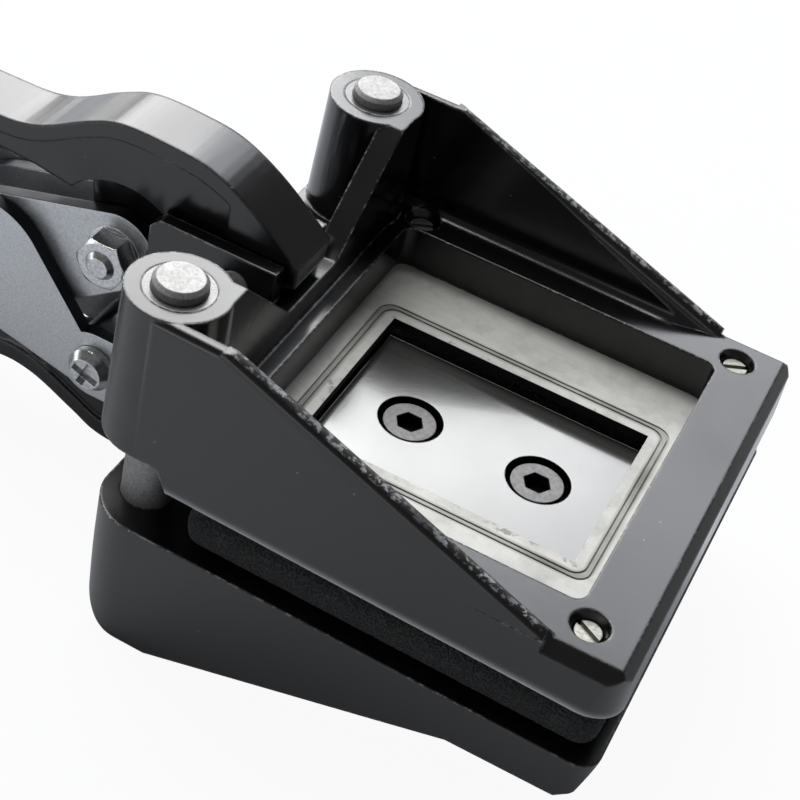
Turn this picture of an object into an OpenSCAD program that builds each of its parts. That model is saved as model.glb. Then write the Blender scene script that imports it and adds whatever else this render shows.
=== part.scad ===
// Hand-held photo die cutter: a framed steel die above a punch, closed by a pair of linked handles.
// Millimetres. X runs to the front of the head, Y across it, Z up along the guide pins.

/* [Overall] */
// Length from the front of the head to the ends of the handles
overall_length = 245.5; // [225:0.5:290]
// Height of the frame's top face above the surface the cutter rests on
frame_height = 42; // [40:0.5:50]
// Width of the upper casting at its lower edge
body_width = 82.6; // [78:0.2:100]
// Radius of the front corners of both castings
corner_radius = 5; // [2:0.5:8]

/* [Photo and die] */
// Length of the cut photo, along X
photo_length = 45; // [35:0.5:48]
// Width of the cut photo, along Y
photo_width = 33; // [25:0.5:40]
// Front edge of the window to the front edge of the aperture
aperture_setback = 4.7; // [3:0.1:6]
// Thickness of the steel die plate
die_thickness = 1.6; // [1.4:0.1:3]
// Thickness of the die plate's rim, which shows below the casting
die_rim = 0.6; // [0.4:0.1:1]
// How far the rim stands in from the side of the casting
rim_inset = 0.4; // [0.2:0.1:1]
// How far the seated part of the die plate stands in from the side of the casting
die_inset = 2.6; // [1.5:0.1:4]
// Aperture's edge to the inner engraved line
ring_gap = 2; // [1:0.1:2.4]
// Distance between the two engraved lines
ring_step = 0.9; // [0.6:0.1:1.4]
// Width of an engraved line
ring_width = 0.3; // [0.2:0.05:0.4]
// Depth of an engraved line
ring_depth = 0.25; // [0.1:0.05:0.5]
// Corner radius of the inner engraved line
ring_corner = 2.2; // [1:0.1:4]
// Gap between the punch and the aperture on each side
punch_clearance = 0.08; // [0.05:0.01:0.1]
// Gap between the die plate and the punch when open
feed_gap = 1.9; // [0.8:0.1:2.2]

/* [Upper casting] */
// Depth from the frame's top face to the die plate
window_depth = 7.5; // [5:0.1:10]
// Length of the window, along X
window_length = 55.7; // [52:0.1:57]
// Width of the frame's side bars
side_bar = 10.55; // [9:0.05:14]
// Corner radius of the window
window_corner = 2; // [1:0.5:4]
// Width of the frame's front bar
front_bar = 11; // [8:0.1:14]
// Bevel round the front bar
frame_bevel = 1.6; // [0.5:0.1:3]
// Bevel along the ends of the front bar
end_bevel = 1.9; // [0.5:0.1:3]
// Width of the ledge behind the window
rear_ledge = 2.8; // [1.5:0.1:4]
// Thickness of the wall between the guide bosses
cross_wall = 4; // [3:0.1:6]
// Slope of the cheeks' top edges
cheek_slope = 21; // [19:0.1:26]
// Front edge of the window to the front end of the cheeks
cheek_setback = 2; // [0:0.5:6]
// Height of the step where a cheek starts behind the front bar
cheek_step = 0.8; // [0.5:0.1:3]
// Side of the casting to the foot of a cheek's inner face
cheek_foot = 6.1; // [5:0.1:9]
// Fillet at the foot of a cheek's inner face
cheek_fillet = 1.8; // [1:0.1:3]
// Half width of a cheek's rounded crest
crest_half = 1.5; // [1:0.1:2.5]
// Lean of the cheeks' inner faces
inner_draft = 1; // [0.5:0.5:3]
// Lean of the cheeks' outer faces
outer_draft = 3; // [1:0.5:5]
// Depth of the guide part below the frame's top face
rear_depth = 5; // [3:0.1:7]

/* [Guides] */
// Diameter of the guide pins
pin_diameter = 8; // [6:0.5:8.5]
// Side of the casting to a guide pin
pin_inset = 10.3; // [9:0.1:14]
// Front edge of the window to the guide pins
pin_setback = 66; // [65:0.5:72]
// Height of the bosses above the frame's top face
boss_height = 20.4; // [16:0.2:24]
// Radius of a boss at its top
boss_top_radius = 7.7; // [7:0.1:9]
// Radius of a boss at its foot
boss_foot_radius = 8.1; // [7.5:0.1:10]
// Height of a guide pin above its boss
pin_proud = 1.8; // [1:0.1:4]
// Outer diameter of the guide bushes
bush_diameter = 10.4; // [9.5:0.1:12]
// Radial running clearance of pins in their holes
running_clearance = 0.05; // [0.02:0.01:0.1]

/* [Base casting] */
// Gap between the die plate and the base when open
base_gap = 9.4; // [7:0.1:11]
// How far the base stands in from the side of the upper casting at the front
base_inset = 0.2; // [0:0.1:4]
// How far the base stands in from the side of the upper casting at the rear
base_rear_inset = 1.5; // [0:0.1:4]
// Radius of the base's front corners
base_front_corner = 3.5; // [2:0.5:6]
// Thickness of the base at its front lip
lip_thickness = 8.2; // [7:0.1:12]
// Length of the flat front lip
lip_length = 21; // [12:0.5:30]
// Lean of the front lip, from top to bottom
lip_lean = 1.6; // [0:0.1:3]
// Height of the edge under the front lip
lip_edge = 2.5; // [1:0.1:4]
// Length of the flat land that the base rests on
land_length = 14; // [10:0.5:18]
// Radius of the heel at the base's rear
base_heel = 7; // [2:0.5:8]
// Radius of the base's rear corners
base_corner = 8; // [5:0.5:12]
// Guide pins to the base's rear face
base_tail = 6.4; // [6:0.1:9]
// Lean of the base's side walls
base_draft = 2.5; // [0.5:0.5:4]
// Lean of the base's rear wall
heel_draft = 7; // [1:0.5:8]
// Wall of the hollow underside
base_wall = 4; // [3:0.1:6]
// How far the foam stands in from the side of the base
foam_inset = 1.5; // [1:0.1:6]
// Corner radius of the foam
foam_corner = 3; // [1:0.5:5]
// Gap between the foam and the punch
foam_clearance = 0.8; // [0.5:0.1:2]
// How far the foam stands above the punch
foam_proud = 0.2; // [0:0.1:0.5]
// Depth of the punch's seat in the base
punch_seat = 4; // [3:0.1:6]

/* [Screws] */
// Side of the casting to the die screws
die_screw_inset = 7.3; // [6:0.1:10]
// Front die screws ahead of the window
die_screw_front = 2.4; // [1:0.1:5]
// Rear die screws ahead of the window's rear edge
die_screw_rear = 1.4; // [0:0.1:4]
// Diameter of the die screws' sunk holes at their mouths
die_screw_hole = 6; // [5.5:0.1:7]
// Diameter of a die screw's head
die_screw_head = 4; // [3.5:0.1:4.6]
// Height of a die screw's head
die_screw_head_height = 2.4; // [1.5:0.1:3]
// Depth of a die screw's head below the frame's top face
die_screw_sink = 1.2; // [0.5:0.1:2]
// Diameter of a die screw's thread
die_screw_thread = 2.5; // [2:0.1:3]
// Width and depth of a die screw's slot
die_screw_slot = 0.8; // [0.5:0.1:1.2]
// Distance of each punch screw from the middle of the punch
punch_screw_offset = 11; // [8:0.5:13]
// Diameter of a punch screw's head
punch_screw_head = 8.5; // [7:0.1:9]
// Height of a punch screw's head
punch_screw_head_height = 5; // [4:0.1:5]
// Diameter of a punch screw's thread
punch_screw_thread = 5; // [4:0.1:5]
// Length of a punch screw's thread in the base
punch_screw_bite = 4; // [3:0.1:5]
// Gap round a punch screw's head in its counterbore
counterbore_clearance = 1; // [0.3:0.1:1.5]
// Depth of a punch screw's head below the punch's top
counterbore_sink = 0.6; // [0.2:0.1:1]
// Across the flats of a punch screw's socket
punch_screw_socket = 4; // [3:0.1:5]

/* [Handles] */
// Width of the handles
handle_width = 10.6; // [9:0.2:12]
// Width of the tongues between the inner links
tongue_width = 5.4; // [4:0.1:6]
// Handle hinge behind the guide pins
hinge_setback = 2; // [0:0.5:4]
// Handle hinge above the frame's top face
hinge_rise = 5.5; // [5:0.1:7]
// Lower handle hinge above the surface the cutter rests on
lower_hinge_lift = 12.5; // [12:0.1:14]
// Diameter of the handle hinge pins
hinge_pin = 4.6; // [4:0.1:5]
// Thickness of the lugs that carry the upper hinge pin
lug_thickness = 2.5; // [2:0.1:4]
// Top of the hump above the frame's top face
hump_height = 22; // [19:0.2:25]
// Drop from the hump to the neck behind it
neck_drop = 8.4; // [6:0.1:10]
// Thickness of the upper handle at its neck
neck_thickness = 6; // [5:0.1:8]
// Lowest point of the lower handle's bulge above the surface the cutter rests on
bulge_lift = 2; // [1:0.1:4]
// Rise from the bulge to the neck behind it
bulge_rise = 6.8; // [5:0.1:8]
// Radius of the lower handle round the link screws
screw_boss = 5.5; // [5:0.1:6.5]
// Height of the rim round a handle's sides
handle_rim = 3; // [2:0.1:4]
// Depth of the recess inside the rim
handle_recess = 0.6; // [0.3:0.1:1]
// Thickness of a handle near its end
grip_thickness = 13; // [11:0.2:15]

/* [Links] */
// Handle hinge to the links' front pivots, along X
link_setback = 21.5; // [20:0.5:24]
// Handle hinges to the links' front pivots, towards the middle
link_drop = 6.5; // [5.5:0.1:7.5]
// Front pivots to the centre pivot, along X
centre_setback = 22; // [19:0.5:24]
// Centre pivot to the slide pins, along X
slide_setback = 60; // [50:1:66]
// Slide pins beyond the handle hinges, away from the middle
slide_spread = 2; // [0.5:0.1:3.5]
// Thickness of the link plates
link_thickness = 2.4; // [1.5:0.1:3]
// Gap between neighbouring plates and handles
plate_gap = 0.3; // [0.2:0.05:0.5]
// Radius of the inner links' front ends
inner_nose = 6.7; // [6:0.1:7.5]
// Radius of the outer links' front ends
outer_nose = 6.4; // [5.5:0.1:7]
// Radius of the inner links round the centre pivot
inner_hub = 11; // [8:0.1:11.5]
// Half width of the inner links' rear arms at the centre pivot
inner_arm = 8; // [7:0.1:9]
// Radius of the outer links round the centre pivot
outer_hub = 11.5; // [9:0.1:12.5]
// Radius of the links' rear ends
link_tail = 5.4; // [4.5:0.1:6]
// Diameter of the bolt through the inner links
link_bolt_diameter = 5; // [4:0.1:5]
// Diameter of the bolt's washers
link_washer = 9.4; // [8:0.1:11]
// Thickness of the bolt's washers
link_washer_thickness = 0.8; // [0.5:0.1:1.2]
// Across the flats of the bolt's head and nut
link_bolt_hex = 8; // [7:0.1:9]
// Height of the bolt's head and nut
link_bolt_hex_height = 4; // [3:0.1:5]
// Diameter of the link screws' shoulders
link_screw_shoulder = 5; // [4:0.1:5]
// Diameter of the link screws' heads
link_screw_head = 7.8; // [7:0.1:9]
// Height of the link screws' heads
link_screw_head_height = 2.6; // [2:0.1:3]
// Width of the arms of the link screws' cross recess
link_screw_recess = 1.3; // [0.8:0.1:1.6]
// Diameter of the centre pivot
centre_pin = 6; // [5:0.1:7]
// Radial clearance of the centre pivot in the outer links
centre_clearance = 0.15; // [0.1:0.01:0.3]
// Diameter of the slide pins
slide_pin = 4; // [3:0.1:5]
// Clearance of the slide pins across their slots
slot_clearance = 0.15; // [0.1:0.01:0.3]
// Travel of the slide pins along their slots
slot_travel = 3.4; // [3.4:0.1:6]
// Lean of the slots
slot_lean = 10; // [5:0.5:15]

/* [Hidden] */
$fn = 64;
cut = 1;
seat_clearance = 0.02;
thread_clearance = 0.2;
head_clearance = 0.3;
pocket_clearance = 0.8;
tangent_ease = 0.01;
front_x = front_bar;
end_x = front_bar - overall_length;
datum_x = overall_length / 2 - front_bar;
datum_z = frame_height;
rest_z = -frame_height;
body_half = body_width / 2;
base_half = body_half - base_inset;
base_rear_half = body_half - base_rear_inset;
pin_y = body_half - pin_inset;
plan_front_x = front_x - corner_radius;
tail_half = pin_y + boss_foot_radius;
plan_lean = (body_half - tail_half) / (plan_front_x + pin_setback);
wall_front_x = -window_length - rear_ledge;
wall_rear_x = wall_front_x - cross_wall;
rear_x = -pin_setback - boss_foot_radius;
window_half = body_half - side_bar;
die_cover = die_thickness - die_rim;
skirt_depth = window_depth + die_cover;
skirt_tail = 1;
skirt_slant = 2;
die_bottom = -window_depth - die_thickness;
die_rear_x = wall_front_x;
die_corner = corner_radius - 1;
aperture_front_x = -aperture_setback;
aperture_rear_x = -aperture_setback - photo_length;
aperture_x = -aperture_setback - photo_length / 2;
cheek_front_x = -cheek_setback;
cheek_top_x = cheek_front_x - (boss_height - cheek_step) / tan(cheek_slope);
crest_rear_y = body_half - plan_lean * (plan_front_x - cheek_top_x) - crest_half;
crest_front_y = body_half - (cheek_step + skirt_depth) * tan(outer_draft) - crest_half;
crest_turn = atan((crest_front_y - crest_rear_y) / (cheek_front_x - cheek_top_x));
crest_lean = 35;
notch_wall = 2;
notch_drop = 0.8;
lug_rise = 5;
lug_reach = 15;
lug_corner = 1.5;
lug_foot = 4;
screw_y = body_half - die_screw_inset;
screw_xs = [die_screw_front, die_screw_rear - window_length];
screw_seat_z = -die_screw_head_height - die_screw_sink;
screw_bore = die_screw_head / 2 + head_clearance;
slot_turn = 30;
pin_floor = 10;
pin_foot = rest_z + pin_floor;
pin_chamfer = 0.6;
base_top = die_bottom - base_gap;
base_rear_x = -pin_setback - base_tail;
base_lean = (base_top - rest_z) * tan(base_draft);
heel_lean = (base_top - rest_z) * tan(heel_draft);
land_x = base_rear_x + land_length;
lip_bottom = base_top - lip_thickness;
lower_pin_grip = 8;
hollow_margin = 2;
punch_top = die_bottom - feed_gap;
punch_bottom = base_top - punch_seat;
foam_top = punch_top + foam_proud;
foam_bottom = base_top + seat_clearance;
foam_setback = 1.5;
foam_rear_x = die_rear_x + foam_setback;
foam_front_x = front_x - foam_inset;
foam_half = base_half - foam_inset;
foam_rear_half = base_rear_half - foam_inset;
hinge_x = -pin_setback - hinge_setback;
upper_hinge = [hinge_x, hinge_rise];
lower_hinge = [hinge_x, rest_z + lower_hinge_lift];
mid_z = (upper_hinge.y + lower_hinge.y) / 2;
bolt_at = [hinge_x - link_setback, upper_hinge.y - link_drop];
screw_at = [hinge_x - link_setback, lower_hinge.y + link_drop];
centre_at = [bolt_at.x - centre_setback, mid_z];
upper_slide = [centre_at.x - slide_setback, upper_hinge.y + slide_spread];
lower_slide = [centre_at.x - slide_setback, lower_hinge.y - slide_spread];
half_handle = handle_width / 2;
half_tongue = tongue_width / 2;
inner_y = half_tongue + plate_gap;
inner_out = inner_y + link_thickness;
outer_y = max(inner_out, half_handle) + plate_gap;
outer_out = outer_y + link_thickness;
lug_y = half_handle + plate_gap * 1.5;
notch_half = lug_y;
nose_wall = 2.2;
nose_taper = 0.5;
nose_radius = hinge_pin / 2 + nose_wall;
arch_wall = 5.3;
arch_radius = inner_nose + arch_wall;
bolt_boss = 5.5;
bolt_boss_root = 7.5;
waist = 3.8;
waist_at = screw_at - [2, 1.5];
nose_run = 4;
arm_step = 2;
slot_half = slide_pin / 2 + slot_clearance;
slot_end = 0.5;
closing_turn = 5.6;
closing_dip = slide_setback * tan(closing_turn);
nut_face = 0.48;
nut_chamfer = 30;
bolt_end = 0.8;
pan_edge = 1.2;
pan_dome = 1.1;
cross_reach = 2.4;
cross_depth = 1.4;
cross_turn = 20;
hump_z = hump_height;
neck_z = hump_height - neck_drop;
grip_z = hump_height - 3.2;
end_drop = 6.3;
bulge_z = rest_z + bulge_lift;
steel = "#a9adb0";
oxide = "#5b5f63";
paint = "#1d1e20";
foam_colour = "#17171a";

// Moves a piece from the head's datum to its place over the resting surface
module place() {
    translate([datum_x, 0, datum_z])
    children();
}

// Extrudes an outline drawn in X and Z across Y
module across(y0, y1) {
    translate([0, y1, 0])
    rotate([90, 0, 0])
    linear_extrude(y1 - y0)
    children();
}

// Extrudes an outline drawn in Y and Z along X
module along(x0, x1) {
    translate([x0, 0, 0])
    rotate([90, 0, 90])
    linear_extrude(x1 - x0)
    children();
}

// Both sides of the middle plane
module both_sides() {
    children();
    mirror([0, 1, 0])
    children();
}

// Rectangle with round corners
module round_rect(x0, x1, half, r) {
    translate([x0 + r, -half])
    square([x1 - x0 - 2 * r, 2 * half]);
    translate([x0, r - half])
    square([x1 - x0, 2 * half - 2 * r]);
    for (x = [x0 + r, x1 - r], y = [r - half, half - r])
    translate([x, y])
    circle(r);
}

// Plan with round front and rear corners and straight sides between two widths
module head_plan(front, half, front_r, rear, rear_half, rear_r) {
    front_y = half - front_r;
    side_x = front - front_r;
    rear_y = rear_half - rear_r;
    polygon([
        [side_x, -half], [front, -front_y], [front, front_y], [side_x, half],
        [rear + rear_r, rear_half], [rear, rear_y], [rear, -rear_y], [rear + rear_r, -rear_half]
    ]);
    for (s = [-1, 1]) {
        translate([side_x, s * front_y])
        circle(front_r);
        translate([rear + rear_r, s * rear_y])
        circle(rear_r);
    }
}

// Plan of the upper casting drawn in by an inset, cut off at the die plate's rear
module die_plan(inset) {
    rear_half = body_half - plan_lean * (plan_front_x - die_rear_x) - inset;
    head_plan(front_x - inset, body_half - inset, corner_radius, die_rear_x, rear_half, die_corner);
}

// Bar with round ends of two radii and tangent sides
module taper_bar(p, rp, q, rq) {
    d = norm(q - p);
    a = atan2(q.y - p.y, q.x - p.x);
    t = acos((rp - rq) / d);
    translate(p)
    circle(rp);
    translate(q)
    circle(rq);
    mp = rp - tangent_ease;
    mq = rq - tangent_ease;
    polygon([
        p + mp * [cos(a + t), sin(a + t)], q + mq * [cos(a + t), sin(a + t)],
        q + mq * [cos(a - t), sin(a - t)], p + mp * [cos(a - t), sin(a - t)]
    ]);
}

// Smooth curve through a list of points
function blend(a, b, c, d, t) =
    0.5 * (2 * b + t * (c - a) + t * t * (2 * a - 5 * b + 4 * c - d) + t * t * t * (3 * b - a - 3 * c + d));
function curve(p, n = 6) = concat(
    [for (i = [0 : len(p) - 2])
        for (k = [0 : n - 1])
            blend(p[max(i - 1, 0)], p[i], p[i + 1], p[min(i + 2, len(p) - 1)], k / n)],
    [p[len(p) - 1]]
);

// Cylinder across Y at a place drawn in X and Z
module cross_pin(at, r, half) {
    translate([at.x, half, at.y])
    rotate([90, 0, 0])
    cylinder(r = r, h = 2 * half);
}

// Side outline of the upper casting
module frame_side() {
    lean = (skirt_depth - frame_bevel) * tan(outer_draft);
    skirt_end_x = die_rear_x - skirt_tail;
    polygon([
        [front_x, -skirt_depth], [front_x - lean, -frame_bevel], [front_x - lean - frame_bevel, 0],
        [cheek_front_x + cheek_step, 0], [cheek_front_x, cheek_step],
        [cheek_top_x, boss_height], [-pin_setback, boss_height], [-pin_setback, -rear_depth],
        [skirt_end_x - skirt_slant, -rear_depth], [skirt_end_x, -skirt_depth]
    ]);
}

// Rounded crest of a cheek, as a section across it that widens below
module crest_section() {
    fall = frame_height - crest_half;
    inner = crest_half + fall * tan(crest_lean);
    outer = crest_half + fall * tan(outer_draft);
    polygon(concat(
        [[-inner, -frame_height], [outer, -frame_height]],
        [for (a = [90 : -15 : -90]) [crest_half * sin(a), crest_half * (cos(a) - 1)]]
    ));
}

// Space under the rounded crests of both cheeks, level at the bosses and falling to the front
module crest_space() {
    both_sides()
    translate([cheek_top_x, crest_rear_y, boss_height]) {
        rotate([0, 0, crest_turn])
        rotate([0, cheek_slope, 0])
        translate([-crest_half, 0, 0])
        along(0, overall_length)
        crest_section();
        rotate([0, 0, atan(plan_lean)])
        along(-pin_setback, 0)
        crest_section();
    }
}

// End outline of the upper casting, drawn in at the top
module frame_end() {
    top_half = body_half - (boss_height + skirt_depth) * tan(outer_draft);
    polygon([
        [-body_half, -skirt_depth], [body_half, -skirt_depth],
        [top_half, boss_height], [-top_half, boss_height]
    ]);
}

// Space between the cheeks, with a fillet at the foot of each
module cheek_space() {
    foot = body_half - cheek_foot;
    top = boss_height + cut;
    wall = foot + cheek_fillet + (top - cheek_fillet) * tan(inner_draft);
    polygon(concat(
        [[-wall, top]],
        [for (a = [0 : 15 : 90]) [-foot - cheek_fillet * cos(a), cheek_fillet * (1 - sin(a))]],
        [for (a = [90 : -15 : 0]) [foot + cheek_fillet * cos(a), cheek_fillet * (1 - sin(a))]],
        [[wall, top]]
    ));
}

// Wall between the bosses with a notch for the handle's nose
module boss_wall() {
    notch_z = hinge_rise - notch_drop;
    notch = notch_half + notch_wall;
    shoulder = pin_y - boss_top_radius + notch_wall;
    polygon([
        [-pin_y, -rear_depth], [pin_y, -rear_depth], [pin_y, boss_height], [shoulder, boss_height],
        [notch, notch_z], [-notch, notch_z], [-shoulder, boss_height], [-pin_y, boss_height]
    ]);
}

// Side outline of the lugs that carry the upper hinge pin
module lug_side() {
    top = hinge_rise + lug_rise;
    end = hinge_x - lug_reach;
    polygon([
        [wall_rear_x + cut, 0], [wall_rear_x + cut, top], [end + lug_corner, top], [end, top - lug_corner],
        [end, hinge_rise - notch_wall], [rear_x, -rear_depth], [rear_x + lug_foot, -rear_depth],
        [rear_x + lug_foot, 0]
    ]);
}

// Wedge that bevels an end of the front bar
module bar_end() {
    edge = body_half - skirt_depth * tan(outer_draft);
    along(cheek_front_x, front_x + cut)
    polygon([[edge - end_bevel - cut, cut], [edge + cut, -end_bevel - cut], [edge + cut, cut]]);
}

// Stepped hole of a die screw, widening to its mouth
module screw_hole() {
    translate([0, 0, -window_depth - cut])
    cylinder(r = die_screw_thread / 2 + thread_clearance, h = window_depth);
    translate([0, 0, screw_seat_z])
    cylinder(r = screw_bore, h = die_screw_head_height);
    translate([0, 0, -die_screw_sink])
    cylinder(r1 = screw_bore, r2 = die_screw_hole / 2, h = die_screw_sink);
    cylinder(r = die_screw_hole / 2, h = boss_height);
}

module upper_frame() {
    place()
    color(paint)
    difference() {
        union() {
            difference() {
                intersection() {
                    translate([0, 0, -skirt_depth])
                    linear_extrude(skirt_depth + boss_height)
                    head_plan(front_x, body_half, corner_radius, -pin_setback, tail_half, cut);
                    across(-body_half - cut, body_half + cut)
                    frame_side();
                    along(-pin_setback - cut, front_x + cut)
                    frame_end();
                    union() {
                        crest_space();
                        translate([-pin_setback - cut, -body_half - cut, -skirt_depth - cut])
                        cube([front_x + pin_setback + 2 * cut, body_width + 2 * cut, skirt_depth + cut]);
                    }
                }
                along(-pin_setback - cut, front_x + cut)
                cheek_space();
            }
            translate([rear_x, -pin_y, -rear_depth])
            cube([boss_foot_radius, 2 * pin_y, rear_depth]);
            both_sides()
            translate([-pin_setback, pin_y, -rear_depth])
            cylinder(r1 = boss_foot_radius, r2 = boss_top_radius, h = rear_depth + boss_height);
            along(wall_rear_x, wall_front_x)
            boss_wall();
            both_sides()
            across(lug_y, lug_y + lug_thickness)
            lug_side();
        }
        translate([0, 0, -window_depth - cut])
        linear_extrude(window_depth + 2 * cut)
        round_rect(-window_length, 0, window_half, window_corner);
        translate([0, 0, -skirt_depth - cut])
        linear_extrude(die_cover + cut)
        die_plan(die_inset - seat_clearance);
        both_sides()
        translate([-pin_setback, pin_y, -rear_depth - cut])
        cylinder(r = bush_diameter / 2 + seat_clearance, h = rear_depth + boss_height + 2 * cut);
        both_sides()
        bar_end();
        for (x = screw_xs)
        both_sides()
        translate([x, screw_y, 0])
        screw_hole();
        cross_pin(upper_hinge, hinge_pin / 2 + seat_clearance, lug_y + lug_thickness + cut);
    }
}

// Engraved line round the aperture
module ring_groove(gap) {
    in_r = ring_corner;
    out_r = ring_corner + ring_width;
    out = gap + ring_width;
    half = photo_width / 2;
    translate([0, 0, -window_depth - ring_depth])
    difference() {
        linear_extrude(ring_depth + cut)
        round_rect(aperture_rear_x - out, aperture_front_x + out, half + out, out_r);
        translate([0, 0, -cut])
        linear_extrude(ring_depth + 3 * cut)
        round_rect(aperture_rear_x - gap, aperture_front_x + gap, half + gap, in_r);
    }
}

module die_plate() {
    place()
    color(steel)
    difference() {
        union() {
            translate([0, 0, die_bottom])
            linear_extrude(die_thickness)
            die_plan(die_inset);
            translate([0, 0, die_bottom])
            linear_extrude(die_rim - seat_clearance)
            die_plan(rim_inset);
        }
        translate([aperture_rear_x, -photo_width / 2, die_bottom - cut])
        cube([photo_length, photo_width, die_thickness + 2 * cut]);
        ring_groove(ring_gap);
        ring_groove(ring_gap + ring_step);
        for (x = screw_xs)
        both_sides()
        translate([x, screw_y, die_bottom - cut])
        cylinder(r = die_screw_thread / 2 + seat_clearance, h = die_thickness + 2 * cut);
    }
}

module die_screws() {
    place()
    color(steel)
    for (x = screw_xs)
    both_sides()
    translate([x, screw_y, 0])
    difference() {
        union() {
            translate([0, 0, screw_seat_z])
            cylinder(r = die_screw_head / 2, h = die_screw_head_height);
            translate([0, 0, die_bottom])
            cylinder(r = die_screw_thread / 2, h = screw_seat_z - die_bottom + cut);
        }
        rotate([0, 0, slot_turn])
        translate([-die_screw_head, -die_screw_slot / 2, -die_screw_sink - die_screw_slot])
        cube([2 * die_screw_head, die_screw_slot, die_screw_slot + cut]);
    }
}

module guide_bush() {
    place()
    color(steel)
    translate([-pin_setback, pin_y, -rear_depth])
    difference() {
        cylinder(r = bush_diameter / 2, h = rear_depth + boss_height);
        translate([0, 0, -cut])
        cylinder(r = pin_diameter / 2 + running_clearance, h = rear_depth + boss_height + 2 * cut);
    }
}

module guide_bush_left() {
    guide_bush();
}

module guide_bush_right() {
    mirror([0, 1, 0])
    guide_bush();
}

module guide_pin() {
    shank = boss_height + pin_proud - pin_chamfer - pin_foot;
    place()
    color(steel)
    translate([-pin_setback, pin_y, pin_foot]) {
        cylinder(r = pin_diameter / 2, h = shank);
        translate([0, 0, shank])
        cylinder(r1 = pin_diameter / 2, r2 = pin_diameter / 2 - pin_chamfer, h = pin_chamfer);
    }
}

module guide_pin_left() {
    guide_pin();
}

module guide_pin_right() {
    mirror([0, 1, 0])
    guide_pin();
}

// Corner that is taken off the base's rear edge to round its heel
module heel_cut() {
    run = [cos(heel_draft), sin(heel_draft)];
    middle = [base_heel * (1 - sin(heel_draft)) / cos(heel_draft), base_heel];
    translate([base_rear_x + heel_lean, rest_z])
    difference() {
        polygon([
            middle, [middle.x, -cut], [-base_heel, -cut], [-base_heel, middle.y - base_heel * run.y],
            middle - base_heel * run
        ]);
        translate(middle)
        circle(base_heel);
    }
}

// Side outline of the base: a flat land at the rear, a rising wedge and a front lip
module base_side() {
    difference() {
        polygon([
            [front_x, base_top], [front_x - lip_lean, lip_bottom + lip_edge],
            [front_x - lip_lean - lip_edge, lip_bottom], [front_x - lip_length, lip_bottom],
            [land_x, rest_z], [base_rear_x + heel_lean, rest_z], [base_rear_x, base_top]
        ]);
        heel_cut();
    }
}

// End outline of the base, drawn in at the bottom
module base_end() {
    bottom_half = base_half - base_lean;
    polygon([
        [-base_half, base_top], [base_half, base_top], [bottom_half, rest_z], [-bottom_half, rest_z]
    ]);
}

// Hollow of the underside, to a wall's thickness inside the wedge
module base_hollow_side() {
    roof = punch_bottom - base_wall;
    lip_x = front_x - lip_length;
    rear = land_x + hollow_margin;
    polygon([[rear, roof], [rear, rest_z - cut], [lip_x, rest_z - cut], [lip_x, roof]]);
}

module base_casting() {
    place()
    color(paint)
    difference() {
        intersection() {
            translate([0, 0, rest_z])
            linear_extrude(base_top - rest_z)
            head_plan(front_x, base_half, base_front_corner, base_rear_x, base_rear_half, base_corner);
            across(-base_half - cut, base_half + cut)
            base_side();
            along(base_rear_x - cut, front_x + cut)
            base_end();
        }
        translate([aperture_rear_x - seat_clearance, -photo_width / 2 - seat_clearance, punch_bottom])
        cube([photo_length + 2 * seat_clearance, photo_width + 2 * seat_clearance, base_gap + punch_seat]);
        both_sides()
        translate([-pin_setback, pin_y, pin_foot])
        cylinder(r = pin_diameter / 2 + seat_clearance, h = frame_height);
        for (s = [-1, 1])
        translate([aperture_x + s * punch_screw_offset, 0, punch_bottom - punch_screw_bite - head_clearance])
        cylinder(r = punch_screw_thread / 2 + seat_clearance, h = punch_screw_bite + head_clearance + cut);
        both_sides()
        difference() {
            across(base_wall / 2, base_rear_half - base_lean - base_wall)
            base_hollow_side();
            for (s = [-1, 1])
            translate([aperture_x + s * punch_screw_offset, 0, rest_z - 2 * cut])
            cylinder(r = punch_screw_thread, h = frame_height);
        }
        translate([base_rear_x - cut, -notch_half, rest_z - cut])
        cube([wall_front_x - base_rear_x, 2 * notch_half, frame_height]);
        cross_pin(lower_hinge, hinge_pin / 2 + seat_clearance, notch_half + lower_pin_grip);
    }
}

module punch_block() {
    place()
    color(steel)
    difference() {
        translate([aperture_rear_x + punch_clearance, punch_clearance - photo_width / 2, punch_bottom])
        cube([
            photo_length - 2 * punch_clearance, photo_width - 2 * punch_clearance, punch_top - punch_bottom
        ]);
        for (s = [-1, 1])
        translate([aperture_x + s * punch_screw_offset, 0, 0]) {
            translate([0, 0, punch_bottom - cut])
            cylinder(r = punch_screw_thread / 2 + thread_clearance, h = frame_height);
            translate([0, 0, punch_top - counterbore_sink - punch_screw_head_height])
            cylinder(r = punch_screw_head / 2 + counterbore_clearance, h = frame_height);
        }
    }
}

module punch_screws() {
    head_top = punch_top - counterbore_sink;
    head_foot = head_top - punch_screw_head_height;
    foot = punch_bottom - punch_screw_bite;
    place()
    color(oxide)
    for (s = [-1, 1])
    translate([aperture_x + s * punch_screw_offset, 0, 0])
    difference() {
        union() {
            translate([0, 0, head_foot])
            cylinder(r = punch_screw_head / 2, h = punch_screw_head_height);
            translate([0, 0, foot])
            cylinder(r = punch_screw_thread / 2, h = head_foot - foot + cut);
        }
        translate([0, 0, head_top - punch_screw_head_height / 2])
        cylinder(r = punch_screw_socket / sqrt(3), h = punch_screw_head_height, $fn = 6);
    }
}

module foam_pad() {
    hole = punch_clearance - foam_clearance;
    place()
    color(foam_colour)
    difference() {
        translate([0, 0, foam_bottom])
        linear_extrude(foam_top - foam_bottom)
        head_plan(foam_front_x, foam_half, foam_corner, foam_rear_x, foam_rear_half, foam_corner);
        translate([aperture_rear_x + hole, hole - photo_width / 2, foam_bottom - cut])
        cube([photo_length - 2 * hole, photo_width - 2 * hole, foam_top - foam_bottom + 2 * cut]);
    }
}

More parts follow.
